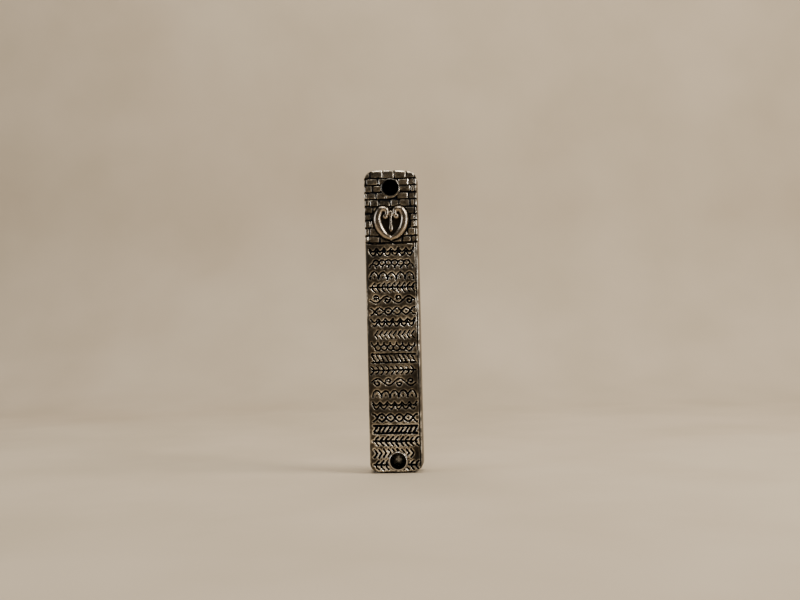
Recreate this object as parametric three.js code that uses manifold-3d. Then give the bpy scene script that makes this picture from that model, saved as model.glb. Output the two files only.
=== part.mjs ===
// A mezuzah case: a cast, rectangular casing that hangs upright on a doorpost.
// Its front carries courses of bricks, an applied emblem and a panel of sunk ornament,
// with a screw in a deep well at each end. Its back holds a rolled scroll behind a
// pressed-in cover.
//
// Millimetres. +Z is up along the casing, the front faces -Y, and the back plane is Y = 0.
// The origin is on the back plane, halfway up and halfway across.

import * as THREE from 'three';
import { mergeVertices } from 'three/addons/utils/BufferGeometryUtils.js';
import Module from 'manifold-3d';

const wasm = await Module();
wasm.setup();

// Casing, at its back. Its walls lean in towards the front by the casting's draft.
const LENGTH = 100;
const WIDTH = 18;
const DEPTH = 9;
const DRAFT = 0.3;
const CORNER_RADIUS = 2;
const EDGE_BEVEL = 0.5;
const FACE_WIDTH = WIDTH - 2 * DRAFT;
const FACE_TOP = LENGTH / 2 - DRAFT;
const FRONT = -DEPTH;

// Screw wells: a wide bore for the screw's head, then a narrow hole through to the back
const TOP_WELL = { x: 0, z: FACE_TOP - 5.6 };
const BOTTOM_WELL = { x: 0.6, z: 3.6 - FACE_TOP };
const WELL_RADIUS = 2.9;
const WELL_FLOOR = -3;
const SCREW_HOLE_RADIUS = 1.5;

// Eyelets that line the wells
const EYELET_WALL = 0.25;
const EYELET_GAP = 0.05;
const EYELET_FLANGE_RADIUS = 3.05;
const EYELET_FLANGE = 0.25;
const EYELET_BASE = 0.5;
const EYELET_HOLE_RADIUS = 1.3;

// Screws: a domed head with a cross recess, and a shank that ends in a point
const SCREW = { headRadius: 2.35, rim: 0.5, dome: 1.2, shankRadius: 1.1, length: 16, point: 3 };
const SCREW_GAP = 0.05;
const CROSS = { width: 0.55, span: 2.8, depth: 0.9 };
const DOME_STEPS = 5;

// Scroll chamber and the rebate for its cover, open at the back
const CHAMBER = { width: 13, length: 79, z: -1, depth: 7, radius: 1 };
const REBATE_MARGIN = 1;
const REBATE_DEPTH = 0.95;
const REBATE_RADIUS = 1.2;
const NAIL_NOTCH_RADIUS = 1.6;
const NAIL_NOTCH_DEPTH = 1.5;

// Cover
const COVER_THICKNESS = 0.9;
const COVER_GAP = 0.1;

// Scroll, in its clear sleeve
const SLEEVE = { length: 74, outer: 2.85, inner: 2.65 };
const SCROLL = { length: 70, outer: 2.5, core: 0.75, turns: 4.5, sheet: 0.25 };
const SCROLL_AXIS = {
  x: -CHAMBER.width / 2 + SLEEVE.outer + 0.2,
  y: -CHAMBER.depth + SLEEVE.outer + 0.2,
};

// Bricks, from the top end down to the groove that parts them from the panel
const COURSES = 10;
const BRICK_LENGTH = FACE_WIDTH / 5;
const MORTAR = { width: 0.35, depth: 0.45 };
const GROOVE = { z: FACE_TOP - 23.8, width: 0.6, depth: 0.7 };
const COURSE_HEIGHT = (FACE_TOP - GROOVE.z) / COURSES;

// Panel: a fine line inside each long edge, and rows of sunk marks
const PANEL_LINE = { x: 7.9, width: 0.3, depth: 0.3 };
const ROWS = 19;
const ROW_PITCH = 3.9;
const FIRST_ROW = FACE_TOP - 26.9;
const MARKS_IN_ROW = 6;
const MARK_PITCH = 2.5;
const MARK = { width: 1.3, height: 2.4, depth: 0.45 };

// Emblem: two mirrored C-scrolls that meet in a pointed foot, with a drop that hangs from
// between their curls, on a seat sunk in the bricks. Each point of a stroke's middle line
// is [across, up, half its width].
const EMBLEM = { z: FACE_TOP - 17.2, proud: 0.9, seat: 0.55, bevel: 0.35 };
const C_SCROLL = [
  [0, -5.2, 0.9],
  [2.2, -3.9, 1.25],
  [3.9, -1.4, 1.45],
  [4.5, 1.6, 1.45],
  [3.4, 4.3, 1.25],
  [1.6, 4.4, 1],
  [1.3, 3, 0.85],
  [1.8, 2.1, 0.85],
];
const FOOT = [
  [0, -6, 0.4],
  [0, -5.3, 0.8],
  [0, -4.7, 0.8],
];
const DROP = [
  [0, 4, 0.7],
  [0, 3.2, 1.05],
  [0, 1.6, 0.55],
  [0, -0.4, 0.6],
  [0, -1.9, 0.95],
  [0, -3, 0.5],
];
const STROKE_STEPS = 20;
const CURL_END_RADIUS = 1.05;
const SEAT = { width: 12.8, height: 12.8 };
const PEG = { radius: 0.6, length: 0.7, x: 4.2, z: 3.2, gap: 0.1 };

const ROUND_STEPS = 36;
const SMALL_ROUND_STEPS = 20;
const OVERCUT = 1;

function metal(color, roughness) {
  return new THREE.MeshStandardMaterial({ color, roughness, metalness: 1 });
}

const castSilver = () => metal(0x8a8378, 0.42);
const polishedSilver = () => metal(0xb5aca0, 0.22);
const darkSilver = () => metal(0x5d5750, 0.35);
const coverMetal = () => metal(0x77736c, 0.5);
const blackSteel = () => metal(0x17181c, 0.35);

function parchment() {
  return new THREE.MeshStandardMaterial({ color: 0xe6d6ae, roughness: 0.8, metalness: 0 });
}

function clearFilm() {
  const look = { color: 0xf2f4f2, roughness: 0.1, metalness: 0, transparent: true, opacity: 0.3 };
  return new THREE.MeshStandardMaterial(look);
}

// A closed three.js geometry as a solid that can be joined and cut.
function solid(geometry) {
  geometry.deleteAttribute('normal');
  geometry.deleteAttribute('uv');
  const merged = mergeVertices(geometry, 1e-4);
  const mesh = new wasm.Mesh({
    numProp: 3,
    vertProperties: merged.attributes.position.array,
    triVerts: new Uint32Array(merged.index.array),
  });
  return new wasm.Manifold(mesh);
}

function piece(name, body, material) {
  const { vertProperties, triVerts } = body.getMesh();
  const geometry = new THREE.BufferGeometry();
  geometry.setAttribute('position', new THREE.BufferAttribute(vertProperties, 3));
  geometry.setIndex(new THREE.BufferAttribute(triVerts, 1));
  geometry.computeVertexNormals();
  const mesh = new THREE.Mesh(geometry, material);
  mesh.name = name;
  return mesh;
}

// An outline drawn in X and Z, drawn out from one Y to a lower one.
function prismGeometry(outline, yBack, yFront, bevel) {
  const geometry = new THREE.ExtrudeGeometry(outline, {
    depth: yBack - yFront - 2 * bevel,
    curveSegments: 6,
    bevelEnabled: bevel > 0,
    bevelThickness: bevel,
    bevelSize: bevel,
    bevelOffset: -bevel,
    bevelSegments: 2,
  });
  geometry.translate(0, 0, bevel - yBack);
  geometry.rotateX(Math.PI / 2);
  return geometry;
}

function prism(outline, yBack, yFront, bevel = 0) {
  return solid(prismGeometry(outline, yBack, yFront, bevel));
}

// A body of revolution about an axis along Y, from a closed profile of [radius, y] points.
function turned(profile, steps, x, z) {
  const points = profile.map(([radius, y]) => new THREE.Vector2(radius, y));
  const geometry = new THREE.LatheGeometry(points, steps);
  geometry.translate(x, 0, z);
  return solid(geometry);
}

function cylinder(radius, yBack, yFront, x, z, steps) {
  const geometry = new THREE.CylinderGeometry(radius, radius, yBack - yFront, steps);
  geometry.translate(x, (yBack + yFront) / 2, z);
  return solid(geometry);
}

function box(width, depth, height, x, y, z) {
  const geometry = new THREE.BoxGeometry(width, depth, height);
  geometry.translate(x, y, z);
  return solid(geometry);
}

function roundedRectangle(width, height, radius, centreX = 0, centreZ = 0) {
  const right = centreX + width / 2 - radius;
  const left = centreX - width / 2 + radius;
  const top = centreZ + height / 2 - radius;
  const bottom = centreZ - height / 2 + radius;
  const quarter = Math.PI / 2;
  const outline = new THREE.Shape();
  outline.absarc(right, top, radius, 0, quarter, false);
  outline.absarc(left, top, radius, quarter, 2 * quarter, false);
  outline.absarc(left, bottom, radius, 2 * quarter, 3 * quarter, false);
  outline.absarc(right, bottom, radius, 3 * quarter, 4 * quarter, false);
  outline.closePath();
  return outline;
}

// A cut into the front face, centred on a point, to a depth below the face.
function frontCut(width, height, depth, x, z) {
  return box(width, depth + OVERCUT, height, x, FRONT + (depth - OVERCUT) / 2, z);
}

function casingBlank() {
  const outline = roundedRectangle(WIDTH, LENGTH, CORNER_RADIUS);
  const geometry = prismGeometry(outline, OVERCUT, FRONT, EDGE_BEVEL);
  const points = geometry.attributes.position;
  for (let i = 0; i < points.count; i += 1) {
    const lean = DRAFT * points.getY(i) / DEPTH;
    points.setX(i, points.getX(i) * (1 + 2 * lean / WIDTH));
    points.setZ(i, points.getZ(i) * (1 + 2 * lean / LENGTH));
  }
  const backTrim = box(2 * WIDTH, DEPTH, 2 * LENGTH, 0, DEPTH / 2, 0);
  return solid(geometry).subtract(backTrim);
}

function screwWell({ x, z }) {
  const bore = cylinder(WELL_RADIUS, WELL_FLOOR, FRONT - OVERCUT, x, z, ROUND_STEPS);
  const hole = cylinder(SCREW_HOLE_RADIUS, OVERCUT, WELL_FLOOR - OVERCUT, x, z, ROUND_STEPS);
  return bore.add(hole);
}

function scrollChamber() {
  const { width, length, z, depth, radius } = CHAMBER;
  const rebateWidth = width + 2 * REBATE_MARGIN;
  const rebateLength = length + 2 * REBATE_MARGIN;
  const rebateOutline = roundedRectangle(rebateWidth, rebateLength, REBATE_RADIUS, 0, z);
  const notchZ = z - rebateLength / 2;
  return prism(roundedRectangle(width, length, radius, 0, z), OVERCUT, -depth)
    .add(prism(rebateOutline, OVERCUT, -REBATE_DEPTH))
    .add(cylinder(NAIL_NOTCH_RADIUS, OVERCUT, -NAIL_NOTCH_DEPTH, 0, notchZ, SMALL_ROUND_STEPS));
}

function mortarJoints() {
  const { width, depth } = MORTAR;
  let joints = frontCut(WIDTH + 2 * OVERCUT, GROOVE.width, GROOVE.depth, 0, GROOVE.z);
  for (let course = 0; course < COURSES; course += 1) {
    const z = FACE_TOP - (course + 0.5) * COURSE_HEIGHT;
    if (course > 0) {
      joints = joints.add(frontCut(WIDTH + 2 * OVERCUT, width, depth, 0, z + COURSE_HEIGHT / 2));
    }
    const shift = course % 2 === 0 ? 0 : BRICK_LENGTH / 2;
    for (let x = shift - 2 * BRICK_LENGTH; x < FACE_WIDTH / 2; x += BRICK_LENGTH) {
      joints = joints.add(frontCut(width, COURSE_HEIGHT, depth, x, z));
    }
  }
  return joints;
}

// Three plain outlines take turns in the rows: a lozenge, a leaning bar and a chevron.
const MARK_OUTLINES = [
  [[-1, 0], [0, -1], [1, 0], [0, 1]],
  [[-1, -1], [-0.2, -1], [1, 1], [0.2, 1]],
  [[-1, 1], [-1, 0], [0, -1], [1, 0], [1, 1], [0, 0.1]],
];

function mark(kind, x, z) {
  const outline = new THREE.Shape();
  outline.setFromPoints(MARK_OUTLINES[kind].map(
    ([across, up]) => new THREE.Vector2(x + across * MARK.width / 2, z + up * MARK.height / 2),
  ));
  return prism(outline, FRONT + MARK.depth, FRONT - OVERCUT);
}

function clearOfWell(x, z) {
  const distance = Math.hypot(x - BOTTOM_WELL.x, z - BOTTOM_WELL.z);
  return distance > EYELET_FLANGE_RADIUS + MARK.height / 2;
}

function panelOrnament() {
  const { x: lineX, width, depth } = PANEL_LINE;
  const panelTop = GROOVE.z - GROOVE.width;
  const lineLength = panelTop + FACE_TOP - 2 * CORNER_RADIUS;
  const lineZ = panelTop - lineLength / 2;
  let cuts = frontCut(width, lineLength, depth, lineX, lineZ)
    .add(frontCut(width, lineLength, depth, -lineX, lineZ));
  for (let row = 0; row < ROWS; row += 1) {
    for (let column = 0; column < MARKS_IN_ROW; column += 1) {
      const x = (column - (MARKS_IN_ROW - 1) / 2) * MARK_PITCH;
      const z = FIRST_ROW - row * ROW_PITCH;
      if (clearOfWell(x, z)) cuts = cuts.add(mark((row + 2 * column) % 3, x, z));
    }
  }
  return cuts;
}

// A stroke of changing width, drawn along its middle line; a side of -1 mirrors it.
function stroke(line, side, back, face) {
  const controls = line.map((point) => new THREE.Vector3(...point));
  const middle = new THREE.CatmullRomCurve3(controls).getSpacedPoints(STROKE_STEPS);
  const edge = (direction) => middle.map((point, step) => {
    const before = middle[Math.max(step - 1, 0)];
    const after = middle[Math.min(step + 1, STROKE_STEPS)];
    const along = new THREE.Vector2(after.x - before.x, after.y - before.y).normalize();
    const reach = direction * point.z;
    return new THREE.Vector2(side * (point.x - along.y * reach), point.y + along.x * reach);
  });
  return prism(new THREE.Shape([...edge(1), ...edge(-1).reverse()]), back, face, EMBLEM.bevel);
}

function cScroll(side, back, face) {
  const [endX, endZ] = C_SCROLL.at(-1);
  const curlEnd = turned([
    [0, back],
    [0, face],
    [CURL_END_RADIUS - EMBLEM.bevel, face],
    [CURL_END_RADIUS, face + EMBLEM.bevel],
    [CURL_END_RADIUS, back],
    [0, back],
  ], SMALL_ROUND_STEPS, side * endX, endZ);
  return stroke(C_SCROLL, side, back, face).add(curlEnd);
}

function emblemPegs(radius, length) {
  const seatY = FRONT + EMBLEM.seat;
  const peg = (x, z) => cylinder(
    radius, seatY + length, seatY - EMBLEM.seat / 2, x, EMBLEM.z + z, SMALL_ROUND_STEPS,
  );
  return peg(-PEG.x, PEG.z).add(peg(PEG.x, PEG.z));
}

function emblem() {
  const seatY = FRONT + EMBLEM.seat;
  const back = seatY + EMBLEM.bevel;
  const face = FRONT - EMBLEM.proud;
  const under = box(2 * WIDTH, DEPTH, 2 * WIDTH, 0, seatY + DEPTH / 2, 0);
  return cScroll(1, back, face)
    .add(cScroll(-1, back, face))
    .add(stroke(FOOT, 1, back, face))
    .add(stroke(DROP, 1, back, face))
    .subtract(under)
    .translate(0, 0, EMBLEM.z)
    .add(emblemPegs(PEG.radius, PEG.length));
}

// The seat's outline: a pointed foot, full sides and two lobes with a dip between them.
function emblemSeat() {
  const w = SEAT.width / 2;
  const h = SEAT.height / 2;
  const outline = new THREE.Shape();
  outline.moveTo(0, -h);
  outline.bezierCurveTo(0.45 * w, -h, w, -0.4 * h, w, 0.25 * h);
  outline.bezierCurveTo(w, 0.8 * h, 0.75 * w, h, 0.45 * w, h);
  outline.bezierCurveTo(0.25 * w, h, 0.1 * w, 0.95 * h, 0, 0.85 * h);
  outline.bezierCurveTo(-0.1 * w, 0.95 * h, -0.25 * w, h, -0.45 * w, h);
  outline.bezierCurveTo(-0.75 * w, h, -w, 0.8 * h, -w, 0.25 * h);
  outline.bezierCurveTo(-w, -0.4 * h, -0.45 * w, -h, 0, -h);
  return prism(outline, FRONT + EMBLEM.seat, FRONT - OVERCUT)
    .translate(0, 0, EMBLEM.z)
    .add(emblemPegs(PEG.radius + PEG.gap, PEG.length + PEG.gap));
}

function frontCasing() {
  return casingBlank()
    .subtract(mortarJoints())
    .subtract(panelOrnament())
    .subtract(emblemSeat())
    .subtract(screwWell(TOP_WELL))
    .subtract(screwWell(BOTTOM_WELL))
    .subtract(scrollChamber());
}

// A flanged cup with a hole in its floor.
function eyelet({ x, z }) {
  const barrel = WELL_RADIUS - EYELET_GAP;
  const inside = barrel - EYELET_WALL;
  const floor = WELL_FLOOR - EYELET_GAP;
  const face = FRONT - EYELET_GAP;
  const rim = face - EYELET_FLANGE;
  return turned([
    [EYELET_HOLE_RADIUS, floor],
    [EYELET_HOLE_RADIUS, floor - EYELET_BASE],
    [inside, floor - EYELET_BASE],
    [inside, face],
    [inside + EYELET_FLANGE / 3, rim],
    [EYELET_FLANGE_RADIUS - EYELET_FLANGE / 3, rim],
    [EYELET_FLANGE_RADIUS, face],
    [barrel, face],
    [barrel, floor],
    [EYELET_HOLE_RADIUS, floor],
  ], ROUND_STEPS, x, z);
}

function screw({ x, z }) {
  const seat = WELL_FLOOR - EYELET_GAP - EYELET_BASE - SCREW_GAP;
  const tip = seat + SCREW.length;
  const rim = seat - SCREW.rim;
  const dome = Array.from({ length: DOME_STEPS }, (_, step) => {
    const angle = (Math.PI / 2) * (step + 1) / DOME_STEPS;
    return [SCREW.headRadius * Math.sin(angle), rim - SCREW.dome * Math.cos(angle)];
  });
  const top = rim - SCREW.dome;
  const body = turned([
    [0, tip],
    [0, top],
    ...dome,
    [SCREW.headRadius, seat],
    [SCREW.shankRadius, seat],
    [SCREW.shankRadius, tip - SCREW.point],
    [0, tip],
  ], SMALL_ROUND_STEPS, x, z);
  const recessY = top + CROSS.depth / 2 - OVERCUT / 2;
  const recessDepth = CROSS.depth + OVERCUT;
  return body
    .subtract(box(CROSS.width, recessDepth, CROSS.span, x, recessY, z))
    .subtract(box(CROSS.span, recessDepth, CROSS.width, x, recessY, z));
}

function backCover() {
  const width = CHAMBER.width + 2 * (REBATE_MARGIN - COVER_GAP);
  const length = CHAMBER.length + 2 * (REBATE_MARGIN - COVER_GAP);
  const radius = REBATE_RADIUS - COVER_GAP;
  return prism(roundedRectangle(width, length, radius, 0, CHAMBER.z), 0, -COVER_THICKNESS);
}

// A tube along Z about the scroll's axis.
function scrollSleeve() {
  const { length, outer, inner } = SLEEVE;
  const outline = new THREE.Shape();
  outline.absarc(0, 0, outer, 0, 2 * Math.PI, false);
  const bore = new THREE.Path();
  bore.absarc(0, 0, inner, 0, 2 * Math.PI, true);
  outline.holes.push(bore);
  return alongScroll(outline, length, 15);
}

// The rolled sheet: one strip wound into a spiral.
function scroll() {
  const { length, outer, core, turns, sheet } = SCROLL;
  const steps = Math.round(turns * 20);
  const edge = (radiusShift) => Array.from({ length: steps + 1 }, (_, step) => {
    const angle = 2 * Math.PI * turns * step / steps;
    const radius = core + (outer - sheet - core) * step / steps + radiusShift;
    return new THREE.Vector2(radius * Math.cos(angle), radius * Math.sin(angle));
  });
  const outline = new THREE.Shape([...edge(sheet), ...edge(0).reverse()]);
  return alongScroll(outline, length, 1);
}

function alongScroll(outline, length, curveSegments) {
  const settings = { depth: length, curveSegments, bevelEnabled: false };
  const geometry = new THREE.ExtrudeGeometry(outline, settings);
  geometry.translate(SCROLL_AXIS.x, SCROLL_AXIS.y, CHAMBER.z - length / 2);
  return solid(geometry);
}

const mezuzahCase = new THREE.Group();
mezuzahCase.add(
  piece('front_casing', frontCasing(), castSilver()),
  piece('emblem', emblem(), polishedSilver()),
  piece('top_eyelet', eyelet(TOP_WELL), darkSilver()),
  piece('bottom_eyelet', eyelet(BOTTOM_WELL), darkSilver()),
  piece('top_screw', screw(TOP_WELL), blackSteel()),
  piece('bottom_screw', screw(BOTTOM_WELL), blackSteel()),
  piece('back_cover', backCover(), coverMetal()),
  piece('scroll_sleeve', scrollSleeve(), clearFilm()),
  piece('scroll', scroll(), parchment()),
);

export default mezuzahCase;
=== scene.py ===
"""The looks of a mezuzah case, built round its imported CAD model.

Lengths are in millimetres while a piece is being built, and in metres once it is placed.
The front faces -Y, +Z is up, and the back plane is Y = 0.
"""

import math
from contextlib import contextmanager

import bmesh
import bpy
import numpy as np
from mathutils import Matrix, Vector
from mathutils.kdtree import KDTree


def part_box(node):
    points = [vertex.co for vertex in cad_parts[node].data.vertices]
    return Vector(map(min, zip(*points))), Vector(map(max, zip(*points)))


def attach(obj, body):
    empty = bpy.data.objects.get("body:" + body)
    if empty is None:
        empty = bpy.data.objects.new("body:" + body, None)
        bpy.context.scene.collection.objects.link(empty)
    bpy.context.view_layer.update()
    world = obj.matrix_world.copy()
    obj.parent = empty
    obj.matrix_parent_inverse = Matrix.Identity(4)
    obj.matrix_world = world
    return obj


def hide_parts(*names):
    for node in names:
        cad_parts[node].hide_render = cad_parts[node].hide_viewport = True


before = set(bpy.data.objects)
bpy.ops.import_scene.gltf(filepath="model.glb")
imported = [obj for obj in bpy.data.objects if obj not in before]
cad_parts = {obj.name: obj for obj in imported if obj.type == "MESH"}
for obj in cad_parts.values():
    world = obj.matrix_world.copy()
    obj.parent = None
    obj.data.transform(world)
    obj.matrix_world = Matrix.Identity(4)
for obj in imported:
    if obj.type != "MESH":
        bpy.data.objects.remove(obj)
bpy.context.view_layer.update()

MM = 0.001
# Points closer together than this, in millimetres, are merged into one
MERGE = 0.002
# A ring with a smaller radius than this is a single point
POLE = 1e-6


def box_mm(node):
    low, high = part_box(node)
    return np.array(low) / MM, np.array(high) / MM


def centre_xz(node):
    low, high = box_mm(node)
    return (low[0] + high[0]) / 2, (low[2] + high[2]) / 2


# Casing, from the CAD model. Its walls lean in towards the front by the draft.
CASING_LOW, CASING_HIGH = box_mm("front_casing")
DRAFT = 0.3
HALF_WIDTH = CASING_HIGH[0] - DRAFT
HALF_LENGTH = CASING_HIGH[2] - DRAFT
DEPTH = -CASING_LOW[1]
CORNER = 2.6
EDGE_ROUND = 0.7
ARCH = {"top": 0.7, "bottom": 0.2}
ARCH_PEAK = -2.5
ARCH_REACH = 7.0
TOP_RISE = 0.27
CELL = 0.15
WALL_RINGS = 6

TOP_WELL = centre_xz("top_eyelet")
BOTTOM_WELL = centre_xz("bottom_eyelet")
WELL_RADIUS = 2.9
WELL_FLOOR = -3.0
SCREW_HOLE_RADIUS = 1.5
EYELET_LOW, EYELET_HIGH = box_mm("top_eyelet")
FLANGE_RADIUS = (EYELET_HIGH[0] - EYELET_LOW[0]) / 2

CHAMBER = {"width": 13.0, "length": 79.0, "z": -1.0, "depth": 7.0, "radius": 1.0}
REBATE = {"width": 15.0, "length": 81.0, "depth": 0.95, "radius": 1.2}
NOTCH = {"radius": 1.6, "depth": 1.5}

# Bricks, in courses from the top end down to the groove
COURSES = 10
COURSE_HEIGHT = 2.38
BRICK_LENGTHS = (2.6, 4.1)
MORTAR = {"across": 0.19, "up": 0.1, "depth": 0.55, "end_depth": 0.33}
GROOVE = {"down": 23.8, "half_width": 0.22, "depth": 0.7}
# The line down the right-hand side, with a rib beside it on the panel's side
BORDER_X = 7.95
BORDER_DEPTH = 0.34
RIB_HEIGHT = 0.06

# Ornament, in rows down the panel
ROWS = 19
ROW_PITCH = 3.9
FIRST_ROW_DOWN = 26.9
ORNAMENT_DEPTH = 0.55
# How wide a band stays plain round the bottom well, and along the edge
PLAIN_BAND = 0.35
# Where the lowest rows start: their lips stand taller, and they are painted brighter as a
# reflection of the floor
WORN_AND_SHEEN_FROM_DOWN = 79.5

# Emblem: mirrored C-scrolls, a pointed foot and a hanging drop; each point is
# [across, up, half width]
EMBLEM_Z = HALF_LENGTH - 17.2
EMBLEM_FRONT = box_mm("emblem")[0][1]
EMBLEM_SEAT = 0.55
C_SCROLL = [
    (0, -5.2, 0.9), (2.2, -3.9, 1.25), (3.9, -1.4, 1.45), (4.5, 1.6, 1.45),
    (3.4, 4.3, 1.25), (1.6, 4.4, 1.0), (1.3, 3.0, 0.85), (1.8, 2.1, 0.85),
]
FOOT = [(0, -6.0, 0.4), (0, -5.3, 0.8), (0, -4.7, 0.8)]
DROP = [
    (0, 4.0, 0.7), (0, 3.2, 1.05), (0, 1.6, 0.55),
    (0, -0.4, 0.6), (0, -1.9, 0.95), (0, -3.0, 0.5),
]

# Eyelets and screws; a screw's head lies on the floor of its eyelet
EYELET = {"barrel": 2.85, "inside": 2.6, "hole": 1.3, "floor": 0.5, "gap": 0.05}
SCREW = {"head": 2.35, "rim": 0.5, "gap": 0.05, "neck": 0.88, "root": 0.82, "thread": 0.26}
SCREW_PITCH = 1.05
SCREW_POINT = 3.0

# Scroll: one strip wound from the core out, in a sleeve of clear film
SLEEVE_FILM = 0.2
SCROLL = {"turns": 4.5, "sheet": 0.17, "core": 0.78, "outer": 2.46}


# ---- shapes


def smoothstep(low, high, value):
    t = np.clip((value - low) / (high - low), 0, 1)
    return t * t * (3 - 2 * t)


def fade(low, high, value):
    """1 up to the low end, then smoothly down to 0 at the high end."""
    return 1 - smoothstep(low, high, value)


def noise(x, z, cell, seed):
    """Smooth ups and downs from -1 to 1, about one to each cell."""
    table = np.random.default_rng(seed).uniform(-1, 1, (257, 257))
    across = np.asarray(x) / cell + 100.0
    up = np.asarray(z) / cell + 100.0
    i, j = np.floor(across).astype(int), np.floor(up).astype(int)
    s, t = across - i, up - j
    s, t = s * s * (3 - 2 * s), t * t * (3 - 2 * t)
    i0, i1, j0, j1 = i % 257, (i + 1) % 257, j % 257, (j + 1) % 257
    low = table[i0, j0] * (1 - s) + table[i1, j0] * s
    high = table[i0, j1] * (1 - s) + table[i1, j1] * s
    return low * (1 - t) + high * t


def blur(values, cells):
    """A Gaussian blur over a grid, with the edge values repeated outside it."""
    reach = int(3 * cells)
    offsets = np.arange(-reach, reach + 1)
    weights = np.exp(-0.5 * (offsets / cells) ** 2)
    weights /= weights.sum()
    for axis in (0, 1):
        padding = [(0, 0), (0, 0)]
        padding[axis] = (reach, reach)
        padded = np.pad(values, padding, mode="edge")
        size = values.shape[axis]
        values = sum(
            w * np.take(padded, np.arange(k, k + size), axis=axis)
            for k, w in enumerate(weights)
        )
    return values


def lengths_along(points):
    """How far along a line each of its points is."""
    return np.concatenate([[0], np.cumsum(np.hypot(*np.diff(points[:, :2], axis=0).T))])


def catmull_rom(points, steps):
    """Evenly stepped points on a smooth line through the given ones."""
    points = np.array(points, float)
    padded = np.vstack([2 * points[0] - points[1], points, 2 * points[-1] - points[-2]])
    fine = []
    for k in range(len(points) - 1):
        a, b, c, d = padded[k : k + 4]
        for t in np.linspace(0, 1, 24, endpoint=False):
            square = 2 * a - 5 * b + 4 * c - d
            cube = 3 * b - 3 * c + d - a
            fine.append(0.5 * (2 * b + (c - a) * t + square * t**2 + cube * t**3))
    fine.append(points[-1])
    fine = np.array(fine)
    along = lengths_along(fine)
    even = np.linspace(0, along[-1], steps)
    return np.column_stack([np.interp(even, along, fine[:, k]) for k in range(3)])


def add_object(name, data):
    obj = bpy.data.objects.new(name, data)
    bpy.context.scene.collection.objects.link(obj)
    return obj


@contextmanager
def editing(obj):
    """Lends out an object's mesh for editing, and writes it back at the end."""
    work = bmesh.new()
    work.from_mesh(obj.data)
    yield work
    work.to_mesh(obj.data)
    work.free()


def mesh_object(name, verts, faces):
    """An object with the given mesh, whose faces all look outwards."""
    mesh = bpy.data.meshes.new(name)
    mesh.from_pydata(np.asarray(verts).tolist(), [], faces)
    mesh.update()
    obj = add_object(name, mesh)
    with editing(obj) as work:
        bmesh.ops.recalc_face_normals(work, faces=work.faces)
    return obj


def apply_modifiers(obj):
    depsgraph = bpy.context.evaluated_depsgraph_get()
    mesh = bpy.data.meshes.new_from_object(obj.evaluated_get(depsgraph))
    obj.modifiers.clear()
    obj.data = mesh


def cut_out(obj, other):
    """Cuts the shape of another body out of this one, and removes the other."""
    modifier = obj.modifiers.new("cut", "BOOLEAN")
    modifier.operation = "DIFFERENCE"
    modifier.solver = "MANIFOLD"
    modifier.object = other
    apply_modifiers(obj)
    bpy.data.objects.remove(other)


def cut_flat(obj, y):
    """Cuts away what is behind the plane at the given Y, and closes the cut."""
    plane = {"plane_co": (0, y, 0), "plane_no": (0, 1, 0), "clear_outer": True}
    with editing(obj) as work:
        everything = work.verts[:] + work.edges[:] + work.faces[:]
        bmesh.ops.bisect_plane(work, geom=everything, dist=MERGE, **plane)
        rim = [edge for edge in work.edges if edge.is_boundary]
        bmesh.ops.triangle_fill(work, use_beauty=True, edges=rim)
        bmesh.ops.recalc_face_normals(work, faces=work.faces)


def clean(obj):
    """Merges points that the Booleans left on top of each other, and removes slivers."""
    with editing(obj) as work:
        bmesh.ops.remove_doubles(work, verts=work.verts, dist=MERGE)
        bmesh.ops.dissolve_degenerate(work, dist=MERGE, edges=work.edges)


def rounded_rectangle(width, length, radius, centre=(0.0, 0.0), steps=10):
    """An outline in X and Z, counter-clockwise as seen from the front."""
    quarter = np.linspace(0, math.pi / 2, steps)
    corners = [(1, 1), (-1, 1), (-1, -1), (1, -1)]
    outline = []
    for k, (side, end) in enumerate(corners):
        angles = quarter + k * math.pi / 2
        x = centre[0] + side * (width / 2 - radius) + radius * np.cos(angles)
        z = centre[1] + end * (length / 2 - radius) + radius * np.sin(angles)
        outline += list(zip(x, z))
    return np.array(outline)


def around(steps):
    return np.linspace(0, 2 * math.pi, steps, endpoint=False)


def circle(radius, centre, steps=110):
    """An outline in X and Z. With 110 steps the wells' bores cut the casing cleanly."""
    angles = around(steps)
    return np.column_stack(
        [centre[0] + radius * np.cos(angles), centre[1] + radius * np.sin(angles)]
    )


def stacked(name, sections):
    """A closed body through outlines of equal length, each with its Y, front to back."""
    verts, rings = [], []
    for outline, y in sections:
        add_ring(verts, rings, [(x, y, z) for x, z in outline])
    return mesh_object(name, verts, [rings[0]] + ring_faces(rings) + [rings[-1][::-1]])


def turned(name, profile, centre, steps=96, closed=False):
    """A body of revolution about an axis along Y, from [radius, y] points."""
    verts, rings = [], []
    for radius, y in profile:
        angles = around(steps) if radius > POLE else [0]
        add_ring(verts, rings, [
            (centre[0] + radius * math.cos(a), y, centre[1] + radius * math.sin(a))
            for a in angles
        ])
    return mesh_object(name, verts, ring_faces(rings, closed))


def add_ring(verts, rings, points):
    """Adds a ring of points, and notes which ones they are."""
    rings.append(list(range(len(verts), len(verts) + len(points))))
    verts += points


def ring_faces(rings, closed=False):
    """The faces between rings of points, where a ring of one point is a pole."""
    pairs = list(zip(rings, rings[1:]))
    if closed:
        pairs.append((rings[-1], rings[0]))
    faces = []
    for a, b in pairs:
        for k in range(max(len(a), len(b))):
            corners = [a[k % len(a)], b[k % len(b)]]
            corners += [b[(k + 1) % len(b)], a[(k + 1) % len(a)]]
            faces.append(list(dict.fromkeys(corners)))
    return faces


# This channel holds real wear and patina, and on the casing, eyelets and bottom screw also painted
# highlights and sheen.
def set_wear_and_sheen(obj, values):
    attribute = obj.data.attributes.new("wear_and_sheen", "FLOAT", "POINT")
    attribute.data.foreach_set("value", np.asarray(values, np.float32))


def points_of(obj):
    flat = np.zeros(len(obj.data.vertices) * 3)
    obj.data.vertices.foreach_get("co", flat)
    return flat.reshape(-1, 3)


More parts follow.
